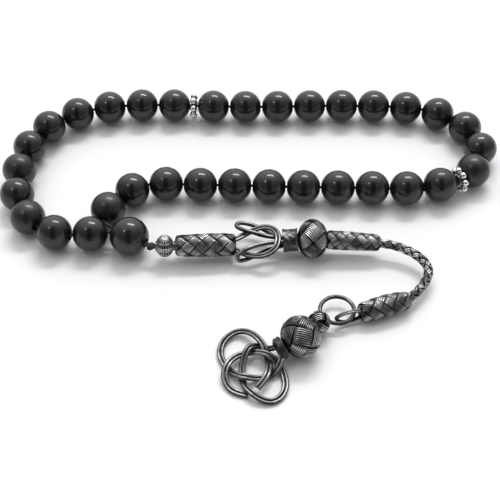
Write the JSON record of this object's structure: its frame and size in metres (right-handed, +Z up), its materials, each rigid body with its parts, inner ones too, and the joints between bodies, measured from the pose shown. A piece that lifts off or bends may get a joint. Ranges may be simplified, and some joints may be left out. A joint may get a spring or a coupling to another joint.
{
  "type": "misbaha prayer beads",
  "caption": "Loop of round black stone beads on a thread, with silver rings between groups, a larger leader bead and a long woven silver tassel ending in a wire flower knot.",
  "frame": {"origin": "on the surface that the piece lies on, under the middle of its bounding box", "axes": "+Z up from the surface, +X along the longest extent, from the leader bead towards the bent chain"},
  "size_m": [0.1446, 0.1113, 0.0108],
  "materials": {
    "black_stone": "polished",
    "bright_silver": "polished",
    "aged_silver": "oxidised in the hollows",
    "black_thread": "matte"
  },
  "bodies": {
    "thread": {"thread_loop": "black_thread", "thread_knot": "black_thread"},
    "upper_tassel": {"tassel_thread": "black_thread", "tassel_cap": "aged_silver", "upper_sleeve": "aged_silver", "left_link_loop": "aged_silver"},
    "middle_tassel": {"right_link_loops": "aged_silver", "neck_collar": "aged_silver", "upper_ball": "aged_silver", "middle_core": "aged_silver", "middle_sleeve": "aged_silver"},
    "chain_1": {"chain_1": "aged_silver"},
    "chain_2": {"chain_2": "aged_silver"},
    "chain_3": {"chain_3": "aged_silver"},
    "chain_4": {"chain_4": "aged_silver"},
    "lower_tassel": {"lower_sleeve": "aged_silver", "lower_loop": "aged_silver"},
    "flower_end": {"link_ring": "aged_silver", "small_knot": "aged_silver", "lower_ball": "aged_silver", "lower_collar": "aged_silver", "flower_strand_a": "aged_silver", "flower_strand_b": "aged_silver"},
    "filigree_ball": {"filigree_ball": "aged_silver"},
    "leader_bead": {"leader_bead": "black_stone"},
    "bead_01": {"bead_01": "black_stone"},
    "bead_02": {"bead_02": "black_stone"},
    "bead_03": {"bead_03": "black_stone"},
    "bead_04": {"bead_04": "black_stone"},
    "bead_05": {"bead_05": "black_stone"},
    "bead_06": {"bead_06": "black_stone"},
    "bead_07": {"bead_07": "black_stone"},
    "bead_08": {"bead_08": "black_stone"},
    "bead_09": {"bead_09": "black_stone"},
    "bead_10": {"bead_10": "black_stone"},
    "bead_11": {"bead_11": "black_stone"},
    "bead_12": {"bead_12": "black_stone"},
    "bead_13": {"bead_13": "black_stone"},
    "bead_14": {"bead_14": "black_stone"},
    "bead_15": {"bead_15": "black_stone"},
    "bead_16": {"bead_16": "black_stone"},
    "bead_17": {"bead_17": "black_stone"},
    "bead_18": {"bead_18": "black_stone"},
    "bead_19": {"bead_19": "black_stone"},
    "bead_20": {"bead_20": "black_stone"},
    "bead_21": {"bead_21": "black_stone"},
    "bead_22": {"bead_22": "black_stone"},
    "bead_23": {"bead_23": "black_stone"},
    "bead_24": {"bead_24": "black_stone"},
    "bead_25": {"bead_25": "black_stone"},
    "bead_26": {"bead_26": "black_stone"},
    "bead_27": {"bead_27": "black_stone"},
    "bead_28": {"bead_28": "black_stone"},
    "bead_29": {"bead_29": "black_stone"},
    "bead_30": {"bead_30": "black_stone"},
    "bead_31": {"bead_31": "black_stone"},
    "bead_32": {"bead_32": "black_stone"},
    "bead_33": {"bead_33": "black_stone"},
    "marker_ring_1": {"marker_ring_1": "bright_silver"},
    "marker_ring_2": {"marker_ring_2": "bright_silver"}
  },
  "joints": [
    {"name": "knot_swing", "type": "hinge", "parent": "thread", "child": "upper_tassel", "pos_m": [-0.0276, -0.0083, 0.0053], "axis": [0, 0, 1], "range_deg": [-50, 8]},
    {"name": "link_swing", "type": "hinge", "parent": "upper_tassel", "child": "middle_tassel", "pos_m": [0.0022, -0.0057, 0.0045], "axis": [0, 0, 1], "range_deg": [-3, 6]},
    {"name": "bend_chain_1", "type": "hinge", "parent": "middle_tassel", "child": "chain_1", "pos_m": [0.0343, -0.00653, 0.0047], "axis": [0, 0, 1], "range_deg": [-8, 20]},
    {"name": "bend_chain_2", "type": "hinge", "parent": "chain_1", "child": "chain_2", "pos_m": [0.041, -0.0085, 0.00435], "axis": [-0.8211, -0.5708, 0], "range_deg": [0, 30]},
    {"name": "bend_chain_3", "type": "hinge", "parent": "chain_2", "child": "chain_3", "pos_m": [0.0456, -0.0128, 0.0038], "axis": [0, 0, 1], "range_deg": [-8, 20]},
    {"name": "bend_chain_4", "type": "hinge", "parent": "chain_3", "child": "chain_4", "pos_m": [0.0457, -0.0182, 0.00335], "axis": [-0.7765, 0.6301, 0], "range_deg": [0, 30]},
    {"name": "bend_chain_5", "type": "hinge", "parent": "chain_4", "child": "lower_tassel", "pos_m": [0.04075, -0.0243, 0.00295], "axis": [0, 0, 1], "range_deg": [-8, 20]},
    {"name": "ring_swing", "type": "hinge", "parent": "lower_tassel", "child": "flower_end", "pos_m": [0.0257, -0.0298, 0.0027], "axis": [0, 0, 1], "range_deg": [-3, 60]},
    {"name": "spin_filigree_ball", "type": "hinge", "parent": "upper_tassel", "child": "filigree_ball", "pos_m": [-0.02381, -0.00805, 0.00513], "axis": [0.9968, 0.0662, -0.0441], "continuous": true},
    {"name": "spin_leader_bead", "type": "hinge", "parent": "thread", "child": "leader_bead", "pos_m": [-0.0336, -0.0047, 0.00535], "axis": [0.8829, -0.4695, 0], "continuous": true},
    {"name": "spin_bead_01", "type": "hinge", "parent": "thread", "child": "bead_01", "pos_m": [-0.04435, -0.0035, 0.00507], "axis": [-0.9937, -0.1069, -0.0345], "continuous": true},
    {"name": "spin_bead_02", "type": "hinge", "parent": "thread", "child": "bead_02", "pos_m": [-0.05432, -0.00282, 0.0049], "axis": [-0.9532, 0.3022, -0.0016], "continuous": true},
    {"name": "spin_bead_03", "type": "hinge", "parent": "thread", "child": "bead_03", "pos_m": [-0.06245, 0.00297, 0.0049], "axis": [-0.6178, 0.7863, 0], "continuous": true},
    {"name": "spin_bead_04", "type": "hinge", "parent": "thread", "child": "bead_04", "pos_m": [-0.06677, 0.01198, 0.0049], "axis": [-0.2377, 0.9713, 0], "continuous": true},
    {"name": "spin_bead_05", "type": "hinge", "parent": "thread", "child": "bead_05", "pos_m": [-0.06762, 0.02193, 0.0049], "axis": [0.0454, 0.999, 0], "continuous": true},
    {"name": "spin_bead_06", "type": "hinge", "parent": "thread", "child": "bead_06", "pos_m": [-0.06603, 0.0318, 0.0049], "axis": [0.2832, 0.9591, 0], "continuous": true},
    {"name": "spin_bead_07", "type": "hinge", "parent": "thread", "child": "bead_07", "pos_m": [-0.06148, 0.04069, 0.0049], "axis": [0.633, 0.7742, 0], "continuous": true},
    {"name": "spin_bead_08", "type": "hinge", "parent": "thread", "child": "bead_08", "pos_m": [-0.05355, 0.04676, 0.0049], "axis": [0.8998, 0.4363, 0], "continuous": true},
    {"name": "spin_bead_09", "type": "hinge", "parent": "thread", "child": "bead_09", "pos_m": [-0.04403, 0.04981, 0.0049], "axis": [0.982, 0.1891, 0], "continuous": true},
    {"name": "spin_bead_10", "type": "hinge", "parent": "thread", "child": "bead_10", "pos_m": [-0.0341, 0.05086, 0.0049], "axis": [0.9994, 0.0337, 0], "continuous": true},
    {"name": "spin_bead_11", "type": "hinge", "parent": "thread", "child": "bead_11", "pos_m": [-0.02411, 0.05085, 0.0049], "axis": [0.9994, -0.0344, 0], "continuous": true},
    {"name": "spin_bead_12", "type": "hinge", "parent": "thread", "child": "bead_12", "pos_m": [-0.01209, 0.0503, 0.0049], "axis": [0.9992, -0.0396, 0], "continuous": true},
    {"name": "spin_bead_13", "type": "hinge", "parent": "thread", "child": "bead_13", "pos_m": [-0.0022, 0.05007, 0.0049], "axis": [1, -0.0081, 0], "continuous": true},
    {"name": "spin_bead_14", "type": "hinge", "parent": "thread", "child": "bead_14", "pos_m": [0.00769, 0.05012, 0.0049], "axis": [0.9998, 0.0197, 0], "continuous": true},
    {"name": "spin_bead_15", "type": "hinge", "parent": "thread", "child": "bead_15", "pos_m": [0.01757, 0.05042, 0.0049], "axis": [0.9994, 0.0343, 0], "continuous": true},
    {"name": "spin_bead_16", "type": "hinge", "parent": "thread", "child": "bead_16", "pos_m": [0.02746, 0.05058, 0.0049], "axis": [1, -0.0045, 0], "continuous": true},
    {"name": "spin_bead_17", "type": "hinge", "parent": "thread", "child": "bead_17", "pos_m": [0.03735, 0.05037, 0.0049], "axis": [0.9992, -0.0394, 0], "continuous": true},
    {"name": "spin_bead_18", "type": "hinge", "parent": "thread", "child": "bead_18", "pos_m": [0.04721, 0.04964, 0.0049], "axis": [0.9915, -0.1302, 0], "continuous": true},
    {"name": "spin_bead_19", "type": "hinge", "parent": "thread", "child": "bead_19", "pos_m": [0.0567, 0.04685, 0.0049], "axis": [0.8926, -0.4509, 0], "continuous": true},
    {"name": "spin_bead_20", "type": "hinge", "parent": "thread", "child": "bead_20", "pos_m": [0.06414, 0.04034, 0.0049], "axis": [0.5602, -0.8284, 0], "continuous": true},
    {"name": "spin_bead_21", "type": "hinge", "parent": "thread", "child": "bead_21", "pos_m": [0.06725, 0.03095, 0.0049], "axis": [0.0175, -0.9998, 0], "continuous": true},
    {"name": "spin_bead_22", "type": "hinge", "parent": "thread", "child": "bead_22", "pos_m": [0.06388, 0.02165, 0.0049], "axis": [-0.6494, -0.7605, 0], "continuous": true},
    {"name": "spin_bead_23", "type": "hinge", "parent": "thread", "child": "bead_23", "pos_m": [0.05358, 0.01575, 0.0049], "axis": [-0.9661, -0.2583, 0], "continuous": true},
    {"name": "spin_bead_24", "type": "hinge", "parent": "thread", "child": "bead_24", "pos_m": [0.04387, 0.01433, 0.0049], "axis": [-0.9989, -0.0463, 0], "continuous": true},
    {"name": "spin_bead_25", "type": "hinge", "parent": "thread", "child": "bead_25", "pos_m": [0.03406, 0.01442, 0.0049], "axis": [-0.9992, 0.0389, 0], "continuous": true},
    {"name": "spin_bead_26", "type": "hinge", "parent": "thread", "child": "bead_26", "pos_m": [0.02426, 0.01469, 0.0049], "axis": [-0.9999, 0.0155, 0], "continuous": true},
    {"name": "spin_bead_27", "type": "hinge", "parent": "thread", "child": "bead_27", "pos_m": [0.01445, 0.01484, 0.0049], "axis": [-0.9998, 0.0207, 0], "continuous": true},
    {"name": "spin_bead_28", "type": "hinge", "parent": "thread", "child": "bead_28", "pos_m": [0.00464, 0.01517, 0.0049], "axis": [-0.999, 0.0454, 0], "continuous": true},
    {"name": "spin_bead_29", "type": "hinge", "parent": "thread", "child": "bead_29", "pos_m": [-0.00516, 0.01554, 0.0049], "axis": [-0.9997, 0.0246, 0], "continuous": true},
    {"name": "spin_bead_30", "type": "hinge", "parent": "thread", "child": "bead_30", "pos_m": [-0.01497, 0.01574, 0.0049], "axis": [-0.9996, 0.0284, 0], "continuous": true},
    {"name": "spin_bead_31", "type": "hinge", "parent": "thread", "child": "bead_31", "pos_m": [-0.02477, 0.01616, 0.0049], "axis": [-1, 0.0016, 0], "continuous": true},
    {"name": "spin_bead_32", "type": "hinge", "parent": "thread", "child": "bead_32", "pos_m": [-0.03425, 0.01362, 0.0049], "axis": [-0.8575, -0.5144, 0], "continuous": true},
    {"name": "spin_bead_33", "type": "hinge", "parent": "thread", "child": "bead_33", "pos_m": [-0.04043, 0.006, 0.00494], "axis": [-0.2632, -0.9646, 0.0144], "continuous": true},
    {"name": "spin_marker_ring_1", "type": "hinge", "parent": "thread", "child": "marker_ring_1", "pos_m": [-0.0181, 0.05058, 0.0049], "axis": [0.9983, -0.0585, 0], "continuous": true},
    {"name": "spin_marker_ring_2", "type": "hinge", "parent": "thread", "child": "marker_ring_2", "pos_m": [0.05935, 0.01772, 0.0049], "axis": [-0.9015, -0.4327, 0], "continuous": true}
  ]
}
